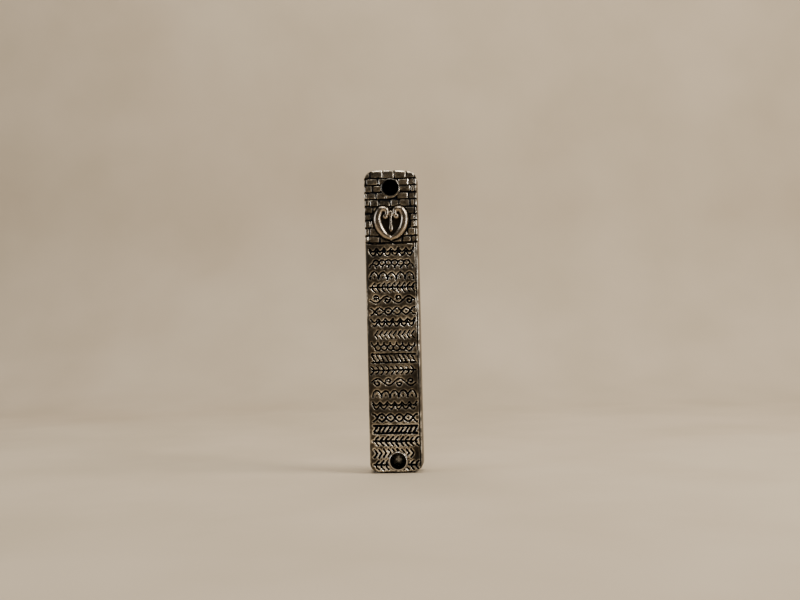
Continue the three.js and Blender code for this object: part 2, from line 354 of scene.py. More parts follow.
def place(obj, material, body, replaced, crease):
    """Takes a finished piece from millimetres to metres and ties it to the frame.

    Edges that bend by more than the crease, in degrees, stay sharp.
    """
    obj.data.transform(Matrix.Scale(MM, 4))
    obj.data.shade_smooth()
    obj.data.set_sharp_from_angle(angle=math.radians(crease))
    obj.data.materials.clear()
    obj.data.materials.append(material)
    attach(obj, body)
    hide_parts(*replaced)


# ---- relief of the front


def spread(half):
    """Positions from -half to half, even in the middle and closer over the rounded edges."""
    inset = EDGE_ROUND * (1 - np.cos(np.radians(np.arange(0, 90, 15))))
    inner = half - EDGE_ROUND
    middle = np.linspace(-inner, inner, round(2 * inner / CELL) + 1)
    return np.concatenate([inset - half, middle, (half - inset)[::-1]])


def distance_to_strokes(x, z, strokes):
    """How far each grid point is outside the nearest stroke, and below 0 inside one."""
    nearest = np.full(x.shape, 9.0)
    rows = z.mean(axis=1)
    for stroke in strokes:
        for (x0, z0, w0), (x1, z1, w1) in zip(stroke, stroke[1:]):
            low, high = min(z0, z1) - 1.6, max(z0, z1) + 1.6
            pick = slice(*np.searchsorted(rows, [low, high]))
            dx, dz = x1 - x0, z1 - z0
            px, pz = x[pick] - x0, z[pick] - z0
            t = np.clip((px * dx + pz * dz) / (dx * dx + dz * dz + 1e-9), 0, 1)
            away = np.hypot(px - t * dx, pz - t * dz) - (w0 + t * (w1 - w0))
            nearest[pick] = np.minimum(nearest[pick], away)
    return nearest


def arc(cx, cz, radius, start, end, tall=1.0, steps=14):
    angles = np.radians(np.linspace(start, end, steps))
    return [(cx + radius * math.cos(a), cz + tall * radius * math.sin(a)) for a in angles]


def vine():
    """A wavy stem with a curl in every bay."""
    bay = 3.65
    lines = [[(x, 1.05 * math.sin(math.pi * x / bay)) for x in np.arange(-7.3, 7.4, 0.3)]]
    for k in range(-2, 2):
        x, crest = (k + 0.5) * bay, 1 if k % 2 == 0 else -1
        curl = []
        for a in np.linspace(0.9 * math.pi, 2.7 * math.pi, 20):
            r = 0.95 - 0.36 * (a / math.pi - 0.9)
            curl.append((x + r * math.cos(a), crest * (r * math.sin(a) - 0.4)))
        lines.append(curl)
    return lines


def scales():
    """Two rows of small scales, the lower row half a scale along."""
    pitch = 2.05
    lines = []
    for shift, up in ((0, 1.15), (pitch / 2, -0.1)):
        for x in np.arange(-6.15 + shift, 6.2, pitch):
            lines.append(arc(x, up, pitch / 2, 180, 360, 1.05, 12))
    return lines


def arches():
    """A scalloped band, with a bead under each arch."""
    middles = np.arange(-5.8, 5.9, 2.9)
    scallops = [arc(x, -1.1, 1.38, 0, 180, 1.55, 20) for x in middles]
    return scallops + [[(x, -0.75), (x, -0.35)] for x in middles]


def garland():
    """Two loose strands that hang in swags, with a bead at every tie."""
    bay = 2.42
    across = np.arange(-7.26, 7.27, 0.2)
    swags = [
        [(x, high - deep * abs(math.sin(math.pi * x / bay))) for x in across]
        for high, deep in ((1.2, 1.0), (0.5, 1.5))
    ]
    return swags + [[(x - 0.1, 1.15), (x + 0.1, 1.15)] for x in np.arange(-3, 4) * bay]


def braid():
    """Two waves that cross, with a bead in each eye."""
    eye = 2.92
    across = np.arange(-7.3, 7.31, 0.25)
    lines = [[(x, up * 1.15 * math.sin(math.pi * x / eye)) for x in across] for up in (1, -1)]
    return lines + [[(x - 0.12, 0), (x + 0.12, 0)] for x in (np.arange(-2, 2) + 0.5) * eye]


def leaves():
    """A stem with pairs of leaning leaves, each cut as one bent stroke."""
    lines = [[(-7.2, 0), (-2.4, 0.06), (2.4, -0.06), (7.2, 0)]]
    for x in np.arange(-6.6, 6.7, 1.65):
        for side in (1, -1):
            lines.append([(x, 0.15 * side), (x + 0.35, 0.8 * side), (x + 0.95, 1.3 * side)])
    return lines


def rope():
    """Slanting strands between two rails."""
    slant = [(-0.5, -0.7), (-0.1, -0.3), (0.1, 0.3), (0.5, 0.7)]
    strands = [[(x + a, b) for a, b in slant] for x in np.arange(-6.6, 6.7, 1.45)]
    return strands + [[(-7.2, up), (-2.5, up), (2.5, up), (7.2, up)] for up in (1.25, -1.25)]


def chevrons():
    """Nested chevrons that point along the row."""
    return [[(x - 0.5, 1.2), (x + 0.45, 0), (x - 0.5, -1.2)] for x in np.arange(-6.5, 6.8, 1.5)]


PATTERNS = (
    garland, scales, arches, leaves, vine, braid, garland, chevrons, scales, rope,
    leaves, vine, arches, garland, braid, rope, leaves, chevrons, leaves,
)


def hand_cut(line, pen, rng):
    """A line cut by hand: uneven, and broken here and there where the tool was lifted."""
    fine = [line[0]]
    for start, end in zip(line, line[1:]):
        count = max(1, round(math.dist(start, end) / 0.35))
        for k in range(1, count + 1):
            t = k / count
            fine.append(tuple(a + (b - a) * t for a, b in zip(start, end)))
    strokes, stroke = [], []
    left = rng.uniform(7.0, 16.0)
    for before, point in zip([fine[0]] + fine, fine):
        left -= math.dist(before, point)
        if left < 0:
            strokes.append(stroke)
            stroke = []
            left = rng.uniform(9.0, 18.0)
            continue
        shake = rng.normal(0, 0.035, 2)
        stroke.append((point[0] + shake[0], point[1] + shake[1], pen * rng.uniform(0.8, 1.2)))
    strokes.append(stroke)
    return [stroke for stroke in strokes if len(stroke) > 1]


def ornament_strokes():
    """Rows of hand-cut bands across the panel, one pattern to a row."""
    rng = np.random.default_rng(41)
    strokes = []
    for row in range(ROWS):
        z = HALF_LENGTH - FIRST_ROW_DOWN - row * ROW_PITCH
        flip_x, flip_z = rng.choice([-1, 1], 2)
        tall = rng.uniform(0.98, 1.12)
        slope = rng.normal(0, 0.008)
        pen = rng.uniform(0.22, 0.26) + (0.06 if row > 13 else 0)
        for line in PATTERNS[row]():
            lift = rng.normal(0, 0.07)
            drawn = [
                (flip_x * x - 0.15, z + lift + flip_z * tall * up + slope * x)
                for x, up in line
            ]
            strokes += hand_cut(drawn, pen, rng)
    return strokes


def brick_field(x, z, down):
    """Depth of uneven bricks and of the joints between them, and how bright their ends are:
    rubbing, with a painted highlight that is strongest at the right-hand ends.
    """
    rng = np.random.default_rng(5)
    bounds = np.arange(COURSES + 1) * COURSE_HEIGHT + rng.uniform(-0.14, 0.14, COURSES + 1)
    bounds[0], bounds[-1] = -1.0, GROOVE["down"]
    bent = down + 0.16 * noise(x, z, 4.2, 11) + 0.05 * noise(x, z, 1.3, 12)
    course = np.clip(np.searchsorted(bounds, bent) - 1, 0, COURSES - 1)
    from_course = np.minimum(bent - bounds[course], bounds[course + 1] - bent)
    middle = (bounds[course] + bounds[course + 1]) / 2
    depth, rubbing_and_glint = np.zeros(x.shape), np.zeros(x.shape)
    sideways = x + 0.12 * noise(x, z, 0.9, 13)
    for k in range(COURSES):
        joints = [-HALF_WIDTH - rng.uniform(0.6, 2.4)]
        while joints[-1] < HALF_WIDTH:
            joints.append(joints[-1] + rng.uniform(*BRICK_LENGTHS))
        joints = np.array(joints)
        lift = rng.uniform(-0.08, 0.1, len(joints))
        tilt = rng.normal(0, 0.055, (2, len(joints)))
        shine = rng.uniform(-0.6, 1, (2, len(joints))).clip(0, 1)
        inside = course == k
        here = sideways[inside]
        brick = np.clip(np.searchsorted(joints, here) - 1, 0, len(joints) - 2)
        left, right = joints[brick], joints[brick + 1]
        to_left, to_right = here - left, right - here
        from_end = np.minimum(to_left, to_right) - MORTAR["up"]
        from_bed = from_course[inside] - MORTAR["across"]
        edge = np.minimum(from_end, from_bed)
        along = here - (left + right) / 2
        rise = bent[inside] - middle[inside]
        top = 0.12 + lift[brick] + tilt[0][brick] * along + tilt[1][brick] * rise
        top += 0.24 * fade(0.1, 0.8, to_right)
        pillow = 0.1 * fade(0.0, 0.3, edge) ** 1.5
        bed = fade(-0.1, 0.08, from_bed)
        end = fade(-0.1, 0.07, from_end) * (1 - bed)
        brick_top = (top + pillow) * (1 - bed) * (1 - end)
        depth[inside] = brick_top + MORTAR["depth"] * bed + MORTAR["end_depth"] * end
        # Bright brick ends: rubbing plus a painted highlight, full at the right end and weaker at
        # the left.
        rubbing_and_glint[inside] = shine[0][brick] * fade(0.2, 0.75, to_right)
        rubbing_and_glint[inside] += 0.6 * shine[1][brick] * fade(0.2, 0.7, to_left)
        rubbing_and_glint[inside] -= 0.4 * fade(0.05, 0.4, from_bed)
    return depth, rubbing_and_glint


def emblem_strokes():
    """The middle lines of the emblem's limbs, in the casing's X and Z."""
    right = catmull_rom(C_SCROLL, 60)
    left = right * [-1, 1, 1]
    foot = catmull_rom(FOOT, 12)
    drop = catmull_rom(DROP, 32)
    return [line + [0, EMBLEM_Z, 0] for line in (right, left, foot, drop)]


def seat_distance(x, z):
    """How far each grid point is outside the emblem's seat."""
    limbs = distance_to_strokes(x, z, emblem_strokes())
    between = (np.hypot(x / 3.4, (z - EMBLEM_Z + 0.2) / 4.4) - 1) * 3.4
    return np.minimum(limbs, between)


def crest(value, middle, width):
    """1 where the value is at the middle, and close to 0 two widths away."""
    return np.exp(-(((value - middle) / width) ** 2))


def panel_relief(x, z, rim, worn_and_sheen, from_bottom_well):
    """Depth of the hand-cut ornament, and of the metal pushed up beside each cut."""
    shaken_x, shaken_z = x + 0.06 * noise(x, z, 1.0, 34), z + 0.06 * noise(x, z, 1.0, 35)
    marks = distance_to_strokes(shaken_x, shaken_z, ornament_strokes())
    marks = np.maximum(marks, FLANGE_RADIUS + PLAIN_BAND - from_bottom_well)
    marks = np.maximum(marks, PLAIN_BAND - rim)
    cut = ORNAMENT_DEPTH * fade(-0.1, 0.1, marks)
    lip = crest(marks, 0.22, 0.13) * (0.09 + 0.09 * worn_and_sheen)
    return cut - lip * (marks > 0.02), lip


def cut_lines(depth, x, z, rim, from_groove, in_bricks):
    """Adds the wavy groove under the bricks, and the border line with its rib."""
    groove = fade(0.0, 0.14, np.abs(from_groove) - GROOVE["half_width"] + 0.1)
    groove *= smoothstep(0.1, 0.5, rim)
    depth = depth * (1 - groove) + GROOVE["depth"] * groove
    depth -= 0.12 * crest(from_groove, 0.62, 0.22) * (1 - groove)
    border = np.abs(x - BORDER_X - 0.06 * noise(z, z, 7.0, 36))
    border_line = fade(0.06, 0.17, border) * smoothstep(0.6, 1.6, rim + 1.0)
    depth = np.maximum(depth, BORDER_DEPTH * border_line)
    depth -= (RIB_HEIGHT - 0.03 * in_bricks) * crest(x - BORDER_X, -0.4, 0.2)
    return depth + 0.09 * fade(0.0, 0.3, BORDER_X - x) * (x < BORDER_X)


def sink_seat(depth, x, z, down):
    """Adds the flat seat that the emblem lies in, which stops short of the groove."""
    seat = fade(0.12, 0.3, seat_distance(x, z))
    seat *= smoothstep(GROOVE["down"] - 0.1, GROOVE["down"] - 0.6, down)
    sunk = np.maximum(depth * (1 - seat), 0) + EMBLEM_SEAT * seat
    return sunk + np.minimum(depth, 0) * (1 - seat), seat


def flatten_round_wells(depth, distances):
    """Adds a flat collar round each eyelet, with a fine dark gap at its flange."""
    for away in distances:
        collar = fade(FLANGE_RADIUS + 0.05, FLANGE_RADIUS + 0.3, away)
        depth = depth * (1 - collar) + 0.03 * collar
        depth += 0.14 * crest(away - FLANGE_RADIUS, 0.08, 0.08)
    return depth


def brick_wear_and_sheen(x, z, down, rubbing_and_glint):
    """How much brighter the bricks are than the panel: streaky wear, painted glints beside the
    border line, and a painted highlight on the top course.
    """
    streaks = 0.09 * noise(x, z, 0.45, 45)
    # Painted glints on the brick ends just left of the border line.
    painted_glint_by_border = np.clip(noise(x, z, 1.3, 44) + 0.2, 0, 1) * crest(x - BORDER_X, -0.85, 0.4)
    # A painted highlight on the top course, left of the middle.
    painted_top_highlight = crest(np.hypot((x + 1.3) / 1.8, (down - 1.7) / 0.55), 0, 1)
    return 0.185 + 0.6 * rubbing_and_glint + streaks + 0.5 * painted_glint_by_border + 0.3 * painted_top_highlight


def front_relief(x, z, rim):
    """Depth of the front below its flat face, and how bright each point is: patina, wear and
    painted highlights.
    """
    down = HALF_LENGTH - z
    from_groove = down - GROOVE["down"] - 0.3 * (1 - (x / HALF_WIDTH) ** 2)
    from_groove += 0.14 * noise(x, z, 3.1, 21) + 0.05 * noise(x, z, 1.1, 22)
    in_bricks = fade(-0.15, 0.0, from_groove)
    # The lowest rows: taller lips, and lips and edges painted brighter as a reflection of the
    # floor.
    worn_and_sheen = smoothstep(WORN_AND_SHEEN_FROM_DOWN, WORN_AND_SHEEN_FROM_DOWN + 2, down + 1.2 * noise(x, z, 5.0, 23))

    hand = 0.05 * noise(x, z, 5.5, 31) + 0.025 * noise(x, z, 1.7, 32) + 0.008 * noise(x, z, 0.5, 33)

    from_top_well = np.hypot(x - TOP_WELL[0], z - TOP_WELL[1])
    from_bottom_well = np.hypot(x - BOTTOM_WELL[0], z - BOTTOM_WELL[1])
    panel, lip = panel_relief(x, z, rim, worn_and_sheen, from_bottom_well)
    bricks, rubbing_and_glint = brick_field(x, z, down)
    depth = panel * (1 - in_bricks) + bricks * in_bricks
    depth = cut_lines(depth, x, z, rim, from_groove, in_bricks)
    depth, seat = sink_seat(depth, x, z, down)
    depth = flatten_round_wells(depth, (from_top_well, from_bottom_well))

    features = depth
    depth = depth * smoothstep(0.0, 0.3, rim) + hand * smoothstep(0.0, 0.6, rim)

    cavity = depth - blur(depth, 3.2)
    stain = 0.14 * noise(x, z, 2.3, 41) + 0.08 * noise(x, z, 0.7, 42) + 0.1 * noise(x, z, 6.0, 43)
    relief = 1.3 * cavity * (1 - 0.75 * in_bricks)
    wear_and_sheen = 0.48 - relief + stain + (1.45 + 0.5 * worn_and_sheen) * lip * (1 - in_bricks)
    wear_and_sheen += brick_wear_and_sheen(x, z, down, rubbing_and_glint) * in_bricks
    # Darker down the lower part of the panel, in two steps.
    wear_and_sheen -= 0.08 * smoothstep(48, 62, down) + 0.04 * smoothstep(74, 82, down)
    wear_and_sheen -= 0.9 * smoothstep(0.2, 0.38, features)
    wear_and_sheen = np.maximum(wear_and_sheen, 0.29 * seat)
    # Painted reflection of the floor along the edge of the lowest rows.
    wear_and_sheen += 0.15 * worn_and_sheen * fade(0.3, 1.6, rim)
    # Edges rubbed brighter, with a painted highlight along the top end.
    painted_top_edge_light = fade(2.0, 4.5, down)
    wear_and_sheen += (0.08 + 0.1 * painted_top_edge_light) * fade(0.0, 0.8, rim)
    return depth, np.clip(wear_and_sheen, 0, 1)


# ---- pieces


def casing_blank():
    """The casing without its holes, and its front grid's points with their wear and painted sheen.
    """
    level = spread(HALF_LENGTH)
    across = spread(HALF_WIDTH) / HALF_WIDTH
    over = np.clip(np.abs(level) - (HALF_LENGTH - CORNER), 0, CORNER)
    half = HALF_WIDTH - CORNER + np.sqrt(CORNER**2 - over**2)
    x = across[None, :] * half[:, None]
    flat_z = np.repeat(level[:, None], len(across), axis=1)
    qx = np.abs(x) - (HALF_WIDTH - CORNER)
    qz = np.abs(flat_z) - (HALF_LENGTH - CORNER)
    outside = np.hypot(np.maximum(qx, 0), np.maximum(qz, 0)) + np.minimum(np.maximum(qx, qz), 0)
    rim = np.clip(CORNER - outside, 0, None)
    ramp = smoothstep(HALF_LENGTH - ARCH_REACH, HALF_LENGTH, np.abs(flat_z))
    side = np.where(x > ARCH_PEAK, HALF_WIDTH - ARCH_PEAK, HALF_WIDTH + ARCH_PEAK)
    top_arch = ARCH["top"] * ((x - ARCH_PEAK) / side) ** 2 - TOP_RISE
    bottom_arch = -ARCH["bottom"] * (x / HALF_WIDTH) ** 2
    z = flat_z - ramp * np.where(flat_z > 0, top_arch, bottom_arch)

    depth, wear_and_sheen = front_relief(x, z, rim)
    over_edge = EDGE_ROUND - np.minimum(rim, EDGE_ROUND)
    edge_depth = EDGE_ROUND - np.sqrt(EDGE_ROUND**2 - over_edge**2)
    y = -DEPTH + edge_depth + depth
    grid = np.stack([x, y, z], axis=-1)

    rows, columns = x.shape
    index = np.arange(rows * columns).reshape(rows, columns)
    quads = np.stack(
        [index[:-1, :-1], index[:-1, 1:], index[1:, 1:], index[1:, :-1]], axis=-1
    )
    faces = quads.reshape(-1, 4).tolist()
    loop = np.concatenate(
        [index[0, :-1], index[:-1, -1], index[-1, :0:-1], index[:0:-1, 0]]
    )
    front = grid.reshape(-1, 3)
    edge = front[loop]
    verts = [front]
    ring = loop.tolist()
    start_y = -DEPTH + EDGE_ROUND
    for k in range(1, WALL_RINGS + 1):
        level_y = start_y * (1 - k / WALL_RINGS)
        lean = DRAFT * (level_y - start_y) / -start_y
        wall = edge.copy()
        wall[:, 0] *= (HALF_WIDTH + lean) / HALF_WIDTH
        end = np.where(edge[:, 2] > 0, edge[:, 2].max(), -edge[:, 2].min())
        back_z = edge[:, 2] * CASING_HIGH[2] / end
        wall[:, 2] += (back_z - edge[:, 2]) * lean / DRAFT
        ripple = 0.03 * noise(edge[:, 0] * 2 + 3 * level_y, edge[:, 2] + 2 * level_y, 6.0, 51)
        if k < WALL_RINGS:
            wall[:, 0] += ripple * np.sign(edge[:, 0]) * (np.abs(edge[:, 0]) > HALF_WIDTH - 1)
        wall[:, 1] = level_y
        verts.append(wall)
        first = rows * columns + (k - 1) * len(loop)
        back = list(range(first, first + len(loop)))
        faces += ring_faces([ring, back])
        ring = back
    faces.append(ring[::-1])
    blank = mesh_object("front_casing_cast", np.vstack(verts), faces)
    return blank, front, wear_and_sheen.reshape(-1)


def cut_screw_well(casing, centre):
    """Cuts the well that an eyelet lines, and the screw's hole through its floor."""
    bore = circle(WELL_RADIUS, centre)
    cut_out(casing, stacked("bore", [(bore, -DEPTH - 1), (bore, WELL_FLOOR)]))
    hole = circle(SCREW_HOLE_RADIUS, centre)
    cut_out(casing, stacked("hole", [(hole, WELL_FLOOR - 1), (hole, 1)]))


def cut_pocket(casing, name, outline, depth):
    """Cuts a pocket of the given outline into the back."""
    cut_out(casing, stacked(name, [(outline, -depth), (outline, 1)]))


def cut_chamber(casing):
    """Cuts the scroll's chamber, the rebate that the cover lies in, and the nail notch."""
    middle = (0.0, CHAMBER["z"])
    inside = rounded_rectangle(CHAMBER["width"], CHAMBER["length"], CHAMBER["radius"], middle)
    cut_pocket(casing, "inside", inside, CHAMBER["depth"])
    ledge = rounded_rectangle(REBATE["width"], REBATE["length"], REBATE["radius"], middle)
    cut_pocket(casing, "ledge", ledge, REBATE["depth"])
    notch = circle(NOTCH["radius"], (0.0, CHAMBER["z"] - REBATE["length"] / 2), 48)
    cut_pocket(casing, "notch", notch, NOTCH["depth"])


def casing_wear_and_sheen(casing, front, front_wear_and_sheen):
    """Wear and painted sheen of every point: the front's own, dark in the wells, dull in the
    chamber.
    """
    tree = KDTree(len(front))
    for k, point in enumerate(front):
        tree.insert(point, k)
    tree.balance()
    points = points_of(casing)
    x, y, z = points.T
    close = 0.01
    walls, back, chamber, wells = 0.5, 0.55, 0.32, 0.05
    wear_and_sheen = walls + 0.03 * noise(z + y, x + y, 2.6, 61)
    wear_and_sheen[y > -close] = back
    inside = np.abs(x) < REBATE["width"] / 2 + close
    inside &= np.abs(z - CHAMBER["z"]) < REBATE["length"] / 2 + close
    wear_and_sheen[inside & (y > -CHAMBER["depth"] - close) & (y < -close)] = chamber
    for centre in (TOP_WELL, BOTTOM_WELL):
        away = np.hypot(x - centre[0], z - centre[1])
        wear_and_sheen[(away < WELL_RADIUS + close) & (y < -0.2)] = wells
    for k in np.flatnonzero(y < -DEPTH + EDGE_ROUND + 0.001):
        _, nearest, _ = tree.find(points[k])
        wear_and_sheen[k] = front_wear_and_sheen[nearest]
    set_wear_and_sheen(casing, wear_and_sheen)


def make_casing(material):
    casing, front, front_wear_and_sheen = casing_blank()
    cut_chamber(casing)
    cut_screw_well(casing, TOP_WELL)
    cut_screw_well(casing, BOTTOM_WELL)
    casing_wear_and_sheen(casing, front, front_wear_and_sheen)
    place(casing, material, "casing", ["front_casing"], 55)


def limb(line, crown):
    """A tapering limb with a rounded section, closed by a round end."""
    sides = 28
    angles = around(sides)
    section_x = np.cos(angles)
    section_y = np.sign(np.sin(angles)) * np.abs(np.sin(angles)) ** 1.15
    count = len(line)
    along = np.gradient(line[:, :2], axis=0)
    along /= np.linalg.norm(along, axis=1)[:, None]
    reach = lengths_along(line)
    verts = []
    for k in range(count):
        half = line[k, 2]
        from_end = min(reach[k] + 0.25, reach[-1] - reach[k] + 0.25)
        close = math.sqrt(max(0.0, 1 - max(0.0, 1 - from_end / half) ** 2))
        height = crown * (0.82 + 0.18 * min(1.0, half / 1.45)) * close
        seat_y = -DEPTH + EMBLEM_SEAT
        for sx, sy in zip(section_x, section_y):
            side = sx * half * max(close, 0.05)
            verts.append((
                line[k, 0] - along[k, 1] * side,
                seat_y - sy * height,
                line[k, 1] + along[k, 0] * side,
            ))
    rings = [list(range(k * sides, (k + 1) * sides)) for k in range(count)]
    faces = ring_faces(rings) + [rings[0][::-1], rings[-1]]
    return mesh_object("limb", verts, faces)


def make_emblem(material):
    crown = (-DEPTH + EMBLEM_SEAT) - EMBLEM_FRONT
    right, left, foot, drop = emblem_strokes()
    emblem = limb(right, crown)
    emblem.name = "emblem_cast"
    end = right[-1]
    parts = [limb(left, crown), limb(foot, crown * 0.9), limb(drop, crown * 0.8)]
    for side in (1, -1):
        profile = [
            (1.1 * math.sin(a), -DEPTH + EMBLEM_SEAT - crown * 0.92 * math.cos(a))
            for a in np.linspace(0, math.pi, 18)
        ]
        parts.append(turned("curl", profile, (side * end[0], end[1]), 40))
    with editing(emblem) as work:
        for part in parts:
            work.from_mesh(part.data)
    for part in parts:
        bpy.data.objects.remove(part)
    remesh = emblem.modifiers.new("remesh", "REMESH")
    remesh.mode = "VOXEL"
    remesh.voxel_size = 0.09
    soften = emblem.modifiers.new("soften", "SMOOTH")
    soften.factor = 0.5
    soften.iterations = 9
    apply_modifiers(emblem)
    seat_y = -DEPTH + EMBLEM_SEAT - 0.01
    cut_flat(emblem, seat_y)
    x, y, z = points_of(emblem).T
    height = (seat_y - y) / crown
    wear_and_sheen = 0.1 + 0.85 * smoothstep(0.12, 0.72, height)
    wear_and_sheen += 0.07 * noise(x, z, 2.2, 71)
    set_wear_and_sheen(emblem, np.clip(wear_and_sheen, 0, 1))
    place(emblem, material, "casing", ["emblem"], 60)


def make_eyelet(node, centre, material):
    """A spun cup that lines a well, with a beaded flange on the front."""
    low, high = box_mm(node)
    face, floor = low[1], high[1]
    barrel, inside, hole = EYELET["barrel"], EYELET["inside"], EYELET["hole"]
    under = -DEPTH - EYELET["gap"]
    base = floor - EYELET["floor"]
    r = (high[0] - low[0]) / 2
    bead = [
        ((inside + r) / 2 + (r - inside) / 2 * math.cos(a), under + (face - under) * math.sin(a))
        for a in np.linspace(math.pi, 0, 12)
    ]
    profile = [(hole, floor), (hole, base), (inside - 0.12, base), (inside, base - 0.12)]
    profile += [(inside, base - 1.5), (inside, base - 3.5)] + bead
    profile += [(barrel, under), (barrel, -DEPTH / 2), (barrel, floor)]
    eyelet = turned(node + "_spun", profile, centre, 112, closed=True)
    x, y, z = points_of(eyelet).T
    away = np.hypot(x - centre[0], z - centre[1])
    wear_and_sheen = smoothstep(under + 0.35, under - 0.05, y) * smoothstep(2.66, 2.8, away)
    set_wear_and_sheen(eyelet, wear_and_sheen)
    place(eyelet, material, "casing", [node], 50)


def screw_profile(head_y, seat, tip):
    """The screw's outline from the top of its head to its tip, as [radius, y, thread]."""
    rim = seat - SCREW["rim"]
    head = SCREW["head"]
    profile = [(0.0, head_y, 0.0)]
    for a in np.linspace(0, math.pi / 2, 14)[1:]:
        profile.append((head * math.sin(a), rim - (rim - head_y) * math.cos(a), 0.0))
    profile += [(head, seat - 0.08, 0.0), (head - 0.08, seat, 0.0), (0.95, seat, 0.0)]
    profile += [(SCREW["neck"], seat + 0.15, 0.0)]
    for y in np.arange(seat + 0.3, tip - 0.1, 0.075):
        shrink = min(1.0, (tip - y) / SCREW_POINT)
        grow = min(1.0, (y - seat - 0.3) / 0.8)
        thread = SCREW["thread"] * grow * min(1.0, 0.35 + shrink)
        profile.append((SCREW["root"] * shrink + 0.02, y, thread))
    profile.append((0.0, tip, 0.0))
    return profile


def make_screw(node, centre, material):
    """A wood screw with a domed head, a cross slot and a tapering thread."""
    low, high = box_mm(node)
    eyelet_floor = box_mm(node.replace("screw", "eyelet"))[1][1]
    seat = eyelet_floor - EYELET["floor"] - SCREW["gap"]
    steps = 56
    verts, rings = [], []
    for radius, y, thread in screw_profile(low[1], seat, high[1]):
        ring = []
        for k in range(steps if radius > POLE else 1):
            turn = k / steps
            phase = (y / SCREW_PITCH - turn) % 1.0
            ridge = max(0.0, 1 - abs(phase - 0.5) / 0.28)
            r = radius + thread * ridge
            a = 2 * math.pi * turn
            ring.append((centre[0] + r * math.cos(a), y, centre[1] + r * math.sin(a)))
        add_ring(verts, rings, ring)
    screw = mesh_object(node + "_turned", verts, ring_faces(rings))
    for width, span in ((0.55, 2.8), (2.8, 0.55)):
        mouth = rounded_rectangle(width, span, 0.12, centre, 4)
        floor = rounded_rectangle(width * 0.72, span * 0.72, 0.08, centre, 4)
        slot = stacked("slot", [(mouth, low[1] - 0.6), (mouth, low[1]), (floor, low[1] + 0.9)])
        cut_out(screw, slot)
    clean(screw)
    set_wear_and_sheen(screw, points_of(screw)[:, 1] < seat - 0.2)
    place(screw, material, "casing", [node], 38)


def make_cover(material):
    """A thin sheet with bevelled edges and a shallow pressed panel."""
    low, high = box_mm("back_cover")
    width, length = high[0] - low[0], high[2] - low[2]
    middle = centre_xz("back_cover")

    def outline(inset, radius):
        return rounded_rectangle(width - 2 * inset, length - 2 * inset, radius, middle, 12)

    # The bevelled edge, then the pressed panel: each step is [inset, corner radius, depth]
    edge = [(0.12, 1.0, 0.0), (0.03, 1.07, 0.04), (0.0, 1.1, 0.12)]
    panel = [(1.1, 0.8, 0.0), (1.25, 0.75, 0.04), (1.5, 0.7, 0.3), (1.65, 0.65, 0.35)]
    sections = [(outline(inset, radius), low[1] + down) for inset, radius, down in edge]
    for inset, radius, down in edge[::-1] + panel:
        sections.append((outline(inset, radius), high[1] - down))
    cover = stacked("back_cover_pressed", sections)
    place(cover, material, "cover", ["back_cover"], 30)


def make_sleeve(material):
    """A tube of thin film, open at both ends, with rounded lips."""
    low, high = box_mm("scroll_sleeve")
    outer = (high[0] - low[0]) / 2
    inner = outer - SLEEVE_FILM
    axis = ((low[0] + high[0]) / 2, (low[1] + high[1]) / 2)
    lip = [
        ((outer + inner) / 2 + 0.1 * math.cos(a), 0.1 * math.sin(a))
        for a in np.linspace(math.pi, 0, 7)
    ]
    profile = [(r, high[2] - 0.1 + up) for r, up in lip]
    profile += [(outer, z) for z in np.linspace(high[2] - 2, low[2] + 2, 20)]
    profile += [(r, low[2] + 0.1 - up) for r, up in lip[::-1]]
    profile += [(inner, z) for z in np.linspace(low[2] + 2, high[2] - 2, 20)]
    steps = 72
    turns = [2 * math.pi * k / steps for k in range(steps)]
    verts, rings = [], []
    for radius, z in profile:
        add_ring(verts, rings, [
            (axis[0] + radius * math.cos(a), axis[1] + radius * math.sin(a), z) for a in turns
        ])
    sleeve = mesh_object("scroll_sleeve_film", verts, ring_faces(rings, closed=True))
    place(sleeve, material, "scroll_roll", ["scroll_sleeve"], 50)


def make_scroll(material):
    """One strip of parchment wound into a spiral, with slightly uneven layers and ends."""
    low, high = box_mm("scroll")
    sleeve_low, sleeve_high = box_mm("scroll_sleeve")
    axis = (sleeve_low + sleeve_high) / 2
    turns, sheet = SCROLL["turns"], SCROLL["sheet"]
    steps = int(turns * 64)
    angle = np.linspace(0, 2 * math.pi * turns, steps + 1)
    middle = np.linspace(SCROLL["core"], SCROLL["outer"] - sheet / 2, steps + 1)
    middle += 0.03 * noise(angle, angle * 0, 1.7, 81)
    rows = np.linspace(low[2] + 0.12, high[2] - 0.12, 30)
    verts = []
    for k, level in enumerate(rows):
        end = 1 if k == len(rows) - 1 else -1 if k == 0 else 0
        for shift in (sheet / 2, -sheet / 2):
            radius = middle + shift + 0.02 * noise(angle, angle * 0 + level, 3.0, 82)
            ragged = level + end * 0.1 * noise(angle, angle * 0, 0.8, 83)
            x = axis[0] + radius * np.cos(angle)
            y = axis[1] + radius * np.sin(angle)
            verts.append(np.column_stack([x, y, np.broadcast_to(ragged, x.shape)]))
    count = steps + 1
    faces = []
    up = 2 * count
    for row in range(len(rows) - 1):
        out, back = row * up, row * up + count
        for k in range(steps):
            faces.append([out + k, out + k + 1, out + k + 1 + up, out + k + up])
            faces.append([back + k + 1, back + k, back + k + up, back + k + 1 + up])
        for k in (0, steps):
            faces.append([out + k, back + k, back + k + up, out + k + up])
    for row in (0, len(rows) - 1):
        out, back = row * up, row * up + count
        faces += [[out + k, out + k + 1, back + k + 1, back + k] for k in range(steps)]
    roll = mesh_object("scroll_parchment", np.vstack(verts), faces)
    place(roll, material, "scroll_roll", ["scroll"], 50)


# ---- materials


